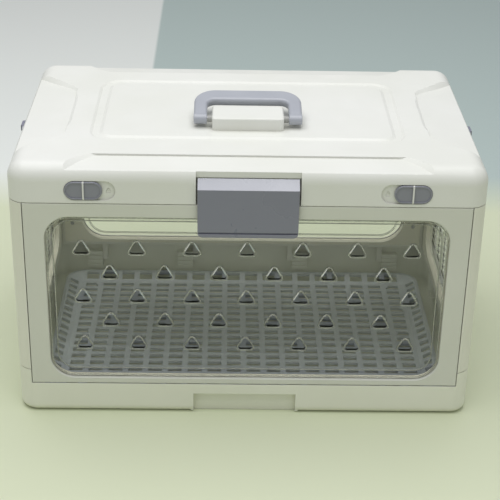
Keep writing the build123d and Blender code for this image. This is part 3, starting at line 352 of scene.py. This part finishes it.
# Painted-highlight rings at the edges of the front and back windows.
# Pale rings sit where the dish of each window's sloped border meets the flat, and
# where the border meets the frame, as painted highlight of these edges. They show as bright double lines.
door_opening = (0.1946, 0.0414, 0.2194)
back_opening = (0.1896, 0.0574, 0.2194)
for name, body, depth, opening, inset, corner in (
    ("door_window_inner_highlight_bead", "door", -0.1406, door_opening, 0.006, 0.0178),
    ("door_window_outer_highlight_bead", "door", -0.1452, door_opening, 0.0008, 0.0228),
    ("back_window_inner_highlight_bead", "carrier", 0.1406, back_opening, 0.006, 0.0208),
):
    half_width, bottom, top = opening
    bpy.ops.object.select_all(action="DESELECT")
    bpy.ops.mesh.primitive_plane_add(
        size=1.0, location=(0.0, depth, (bottom + top) / 2), rotation=(math.radians(90), 0, 0)
    )
    highlight_bead = bpy.context.object
    highlight_bead.name = name
    bpy.ops.object.mode_set(mode="EDIT")
    bpy.ops.transform.resize(value=(2 * (half_width - inset), 1.0, top - bottom - 2 * inset))
    bpy.ops.object.mode_set(mode="OBJECT")
    round_ring(highlight_bead, corner, width=0.0011, thickness=0.001)
    highlight_bead.data.materials.append(rim_highlight_finish)
    bpy.ops.object.transform_apply(location=True, rotation=True, scale=True)
    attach(highlight_bead, body)


# Latch, side clips and handle.
# These working pieces are moulded in cool grey plastic, a little glossier than the shell, with paler
# edges that are partly rubbed wear and partly painted highlight, and painted highlight on upward slopes.
def grey_moulding(name, colour, rough, wear_and_highlight_colour, slope_highlight_strength):
    """Cool grey satin plastic: fine grain, paler edges that are partly rubbed wear and partly painted
    highlight, and upward slopes painted paler as painted highlight.
    """
    finish = bpy.data.materials.new(name)
    finish.use_nodes = True
    nodes = finish.node_tree.nodes
    join = finish.node_tree.links.new
    shader = nodes["Principled BSDF"]
    shader.inputs["IOR"].default_value = 1.5
    shader.inputs["Specular IOR Level"].default_value = 0.85
    place = nodes.new("ShaderNodeTexCoord")
    cloud = nodes.new("ShaderNodeTexNoise")
    cloud.inputs["Scale"].default_value = 24.0
    cloud.inputs["Detail"].default_value = 4.0
    join(place.outputs["Object"], cloud.inputs["Vector"])
    tint = nodes.new("ShaderNodeValToRGB")
    tint.color_ramp.elements[0].position = 0.25
    tint.color_ramp.elements[0].color = (colour[0] * 0.93, colour[1] * 0.93, colour[2] * 0.94, 1)
    tint.color_ramp.elements[1].position = 0.75
    tint.color_ramp.elements[1].color = (*colour, 1)
    join(cloud.outputs["Fac"], tint.inputs["Fac"])
    # Inside ambient occlusion finds convex edges and pales them: partly rubbed wear, partly painted
    # highlight.
    rim = nodes.new("ShaderNodeAmbientOcclusion")
    rim.inside = True
    rim.samples = 4
    rim.inputs["Distance"].default_value = 0.0009
    wear_and_highlight = nodes.new("ShaderNodeMapRange")
    wear_and_highlight.inputs["From Min"].default_value = 0.25
    wear_and_highlight.inputs["From Max"].default_value = 0.75
    wear_and_highlight.inputs["To Min"].default_value = 0.5
    wear_and_highlight.inputs["To Max"].default_value = 0.0
    join(rim.outputs["AO"], wear_and_highlight.inputs["Value"])
    rubbed_and_highlit = nodes.new("ShaderNodeMix")
    rubbed_and_highlit.data_type = "RGBA"
    rubbed_and_highlit.inputs["B"].default_value = (*wear_and_highlight_colour, 1)
    join(wear_and_highlight.outputs["Result"], rubbed_and_highlit.inputs["Factor"])
    join(tint.outputs["Color"], rubbed_and_highlit.inputs["A"])
    # Faces whose normal points up at a slope are mixed towards pale grey: painted highlight.
    axes = nodes.new("ShaderNodeSeparateXYZ")
    join(place.outputs["Normal"], axes.inputs["Vector"])
    slope_highlight_mask = nodes.new("ShaderNodeValToRGB")
    slope_highlight_mask.color_ramp.elements[0].position = 0.4
    slope_highlight_mask.color_ramp.elements[0].color = (0, 0, 0, 1)
    slope_highlight_mask.color_ramp.elements[1].position = 0.55
    slope_highlight_mask.color_ramp.elements[1].color = (slope_highlight_strength, slope_highlight_strength, slope_highlight_strength, 1)
    slope_highlight_mask.color_ramp.elements.new(0.75).color = (slope_highlight_strength, slope_highlight_strength, slope_highlight_strength, 1)
    slope_highlight_mask.color_ramp.elements.new(0.9).color = (0, 0, 0, 1)
    join(axes.outputs["Z"], slope_highlight_mask.inputs["Fac"])
    slope_painted_highlight = nodes.new("ShaderNodeMix")
    slope_painted_highlight.data_type = "RGBA"
    slope_painted_highlight.inputs["B"].default_value = (0.6, 0.61, 0.68, 1)
    join(slope_highlight_mask.outputs["Color"], slope_painted_highlight.inputs["Factor"])
    join(rubbed_and_highlit.outputs["Result"], slope_painted_highlight.inputs["A"])
    join(slope_painted_highlight.outputs["Result"], shader.inputs["Base Color"])
    polish = nodes.new("ShaderNodeMapRange")
    polish.inputs["From Min"].default_value = 0.3
    polish.inputs["From Max"].default_value = 0.7
    polish.inputs["To Min"].default_value = rough - 0.05
    polish.inputs["To Max"].default_value = rough + 0.08
    join(cloud.outputs["Fac"], polish.inputs["Value"])
    join(polish.outputs["Result"], shader.inputs["Roughness"])
    grain = nodes.new("ShaderNodeTexNoise")
    grain.inputs["Scale"].default_value = 1900.0
    join(place.outputs["Object"], grain.inputs["Vector"])
    relief = nodes.new("ShaderNodeBump")
    relief.inputs["Strength"].default_value = 0.3
    relief.inputs["Distance"].default_value = 0.00004
    join(grain.outputs["Fac"], relief.inputs["Height"])
    soft_edge = nodes.new("ShaderNodeBevel")
    soft_edge.samples = 4
    soft_edge.inputs["Radius"].default_value = 0.0006
    join(soft_edge.outputs["Normal"], relief.inputs["Normal"])
    join(relief.outputs["Normal"], shader.inputs["Normal"])
    return finish


# The latch and clips get a painted highlight on their upward slopes (strength 0.75).
latch_grey = grey_moulding(
    "latch_grey_plastic", (0.225, 0.23, 0.3), rough=0.27, wear_and_highlight_colour=(0.5, 0.52, 0.56), slope_highlight_strength=0.75
)
dress(["front_latch", "left_clip", "right_clip"], latch_grey)
handle_grey = grey_moulding(
    "handle_grey_plastic", (0.42, 0.44, 0.49), rough=0.36, wear_and_highlight_colour=(0.58, 0.6, 0.65), slope_highlight_strength=0.0
)
dress(["handle_bail"], handle_grey)


# Slide locks.
# Each lock is an obround button with a bolt behind it. The rib across the button is
# painted almost white, as a painted highlight.
knob_grey = grey_moulding(
    "knob_grey_plastic", (0.26, 0.265, 0.32), rough=0.34, wear_and_highlight_colour=(0.62, 0.64, 0.7), slope_highlight_strength=0.0
)
dress(["left_slide_knob", "right_slide_knob", "left_slide_bolt", "right_slide_bolt"], knob_grey)
knob_nodes = knob_grey.node_tree.nodes
knob_join = knob_grey.node_tree.links.new
knob_shader = knob_nodes["Principled BSDF"]
knob_colour = knob_shader.inputs["Base Color"].links[0].from_socket
knob_corners = [corner[0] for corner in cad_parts["left_slide_knob"].bound_box]
knob_place = knob_nodes.new("ShaderNodeTexCoord")
knob_axes = knob_nodes.new("ShaderNodeSeparateXYZ")
knob_join(knob_place.outputs["Object"], knob_axes.inputs["Vector"])
knob_side = knob_nodes.new("ShaderNodeMath")
knob_side.operation = "ABSOLUTE"
knob_join(knob_axes.outputs["X"], knob_side.inputs[0])
# A narrow band at the rib is mixed towards near-white: painted highlight.
on_rib = knob_nodes.new("ShaderNodeMath")
on_rib.operation = "COMPARE"
on_rib.inputs[1].default_value = abs(min(knob_corners) + max(knob_corners)) / 2
on_rib.inputs[2].default_value = 0.0008
knob_join(knob_side.outputs["Value"], on_rib.inputs[0])
rib_painted_highlight = knob_nodes.new("ShaderNodeMix")
rib_painted_highlight.data_type = "RGBA"
rib_painted_highlight.inputs["B"].default_value = (0.8, 0.8, 0.78, 1)
knob_join(on_rib.outputs["Value"], rib_painted_highlight.inputs["Factor"])
knob_join(knob_colour, rib_painted_highlight.inputs["A"])
knob_join(rib_painted_highlight.outputs["Result"], knob_shader.inputs["Base Color"])


# Floor mat.
# The slotted grate that lifts out for washing is a softer, duller grey plastic, and
# its bars have paler edges beside the slots, partly rubbed wear and partly painted highlight.
mat_grey = grey_moulding(
    "mat_grey_plastic", (0.5, 0.54, 0.58), rough=0.5, wear_and_highlight_colour=(0.66, 0.68, 0.7), slope_highlight_strength=0.0
)
dress(["floor_mat"], mat_grey)


# Steel pins, rods and screws.
# Drawn bright steel: the scratches run round each pin, and the ends are a little dull.
steel_finish = bpy.data.materials.new("drawn_steel")
steel_finish.use_nodes = True
steel_nodes = steel_finish.node_tree.nodes
steel_join = steel_finish.node_tree.links.new
steel_shader = steel_nodes["Principled BSDF"]
steel_shader.inputs["Metallic"].default_value = 1.0
steel_place = steel_nodes.new("ShaderNodeTexCoord")
steel_stretch = steel_nodes.new("ShaderNodeMapping")
steel_stretch.inputs["Scale"].default_value = (1800.0, 240.0, 240.0)
steel_join(steel_place.outputs["Object"], steel_stretch.inputs["Vector"])
steel_lines = steel_nodes.new("ShaderNodeTexNoise")
steel_lines.inputs["Scale"].default_value = 1.0
steel_lines.inputs["Detail"].default_value = 3.0
steel_join(steel_stretch.outputs["Vector"], steel_lines.inputs["Vector"])
steel_tint = steel_nodes.new("ShaderNodeValToRGB")
steel_tint.color_ramp.elements[0].color = (0.42, 0.42, 0.43, 1)
steel_tint.color_ramp.elements[1].color = (0.68, 0.68, 0.69, 1)
steel_join(steel_lines.outputs["Fac"], steel_tint.inputs["Fac"])
steel_join(steel_tint.outputs["Color"], steel_shader.inputs["Base Color"])
steel_polish = steel_nodes.new("ShaderNodeMapRange")
steel_polish.inputs["To Min"].default_value = 0.22
steel_polish.inputs["To Max"].default_value = 0.42
steel_join(steel_lines.outputs["Fac"], steel_polish.inputs["Value"])
steel_join(steel_polish.outputs["Result"], steel_shader.inputs["Roughness"])
steel_relief = steel_nodes.new("ShaderNodeBump")
steel_relief.inputs["Strength"].default_value = 0.2
steel_relief.inputs["Distance"].default_value = 0.00003
steel_join(steel_lines.outputs["Fac"], steel_relief.inputs["Height"])
steel_join(steel_relief.outputs["Normal"], steel_shader.inputs["Normal"])
fastener_ends = ("_pin", "_pins", "_screw", "_screws", "_rod")
dress([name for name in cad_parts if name.endswith(fastener_ends)], steel_finish)


# Table and backdrop.
# The carrier stands on a pale green-white table top. Behind it lie a white sheet on the
# left and a pale blue-green one on the right.
bpy.ops.mesh.primitive_plane_add(size=120.0, location=(0.0, 0.0, 0.0))
table = bpy.context.object
table.name = "table_top"
table_finish = bpy.data.materials.new("table_top_paint")
table_finish.use_nodes = True
table_nodes = table_finish.node_tree.nodes
table_join = table_finish.node_tree.links.new
table_shader = table_nodes["Principled BSDF"]
table_shader.inputs["Roughness"].default_value = 0.5
table_place = table_nodes.new("ShaderNodeTexCoord")
table_cloud = table_nodes.new("ShaderNodeTexNoise")
table_cloud.inputs["Scale"].default_value = 1.2
table_join(table_place.outputs["Object"], table_cloud.inputs["Vector"])
table_tint = table_nodes.new("ShaderNodeValToRGB")
table_tint.color_ramp.elements[0].color = (0.72, 0.77, 0.55, 1)
table_tint.color_ramp.elements[1].color = (0.75, 0.8, 0.59, 1)
table_join(table_cloud.outputs["Fac"], table_tint.inputs["Fac"])
table_axes = table_nodes.new("ShaderNodeSeparateXYZ")
table_join(table_place.outputs["Object"], table_axes.inputs["Vector"])
across = table_nodes.new("ShaderNodeMapRange")
across.inputs["From Min"].default_value = -0.15
across.inputs["From Max"].default_value = -0.145
table_join(table_axes.outputs["X"], across.inputs["Value"])
far_tint = table_nodes.new("ShaderNodeMix")
far_tint.data_type = "RGBA"
far_tint.inputs["A"].default_value = (0.9, 0.93, 0.9, 1)
far_tint.inputs["B"].default_value = (0.52, 0.62, 0.6, 1)
table_join(across.outputs["Result"], far_tint.inputs["Factor"])
behind = table_nodes.new("ShaderNodeMapRange")
behind.inputs["From Min"].default_value = 0.34
behind.inputs["From Max"].default_value = 0.46
table_join(table_axes.outputs["Y"], behind.inputs["Value"])
two_sheets = table_nodes.new("ShaderNodeMix")
two_sheets.data_type = "RGBA"
table_join(behind.outputs["Result"], two_sheets.inputs["Factor"])
table_join(table_tint.outputs["Color"], two_sheets.inputs["A"])
table_join(far_tint.outputs["Result"], two_sheets.inputs["B"])
table_join(two_sheets.outputs["Result"], table_shader.inputs["Base Color"])
table.data.materials.append(table_finish)


# Studio light.
# One broad soft light overhead, a narrow strip above the front that glints in the
# latch's slope, and an even room.
bpy.ops.object.light_add(type="AREA", location=(-0.15, 0.0, 1.7))
overhead = bpy.context.object
overhead.name = "overhead_softbox"
overhead.data.shape = "RECTANGLE"
overhead.data.size = 1.6
overhead.data.size_y = 1.6
overhead.data.energy = 19.0
bpy.ops.object.light_add(type="AREA", location=(0.0, -1.05, 1.75), rotation=(math.radians(31), 0, 0))
strip = bpy.context.object
strip.name = "front_strip"
strip.data.shape = "RECTANGLE"
strip.data.size = 1.2
strip.data.size_y = 0.25
strip.data.energy = 3.4
room = bpy.data.worlds.new("plain_room")
bpy.context.scene.world = room
room.use_nodes = True
room_light = room.node_tree.nodes["Background"]
room_light.inputs["Color"].default_value = (0.97, 0.985, 1.0, 1)
room_light.inputs["Strength"].default_value = 0.38


# Camera, standing in front and a little above, as the photograph was taken.
bpy.ops.object.camera_add(
    location=(-0.024, -1.3045, 0.7736),
    rotation=(math.radians(63.1046), math.radians(-1.1059), math.radians(-0.7491)),
)
camera = bpy.context.object
camera.name = "photo_camera"
camera.data.sensor_width = 36.0
camera.data.lens = 96.84
bpy.context.scene.camera = camera

bpy.context.scene.view_settings.view_transform = "Standard"
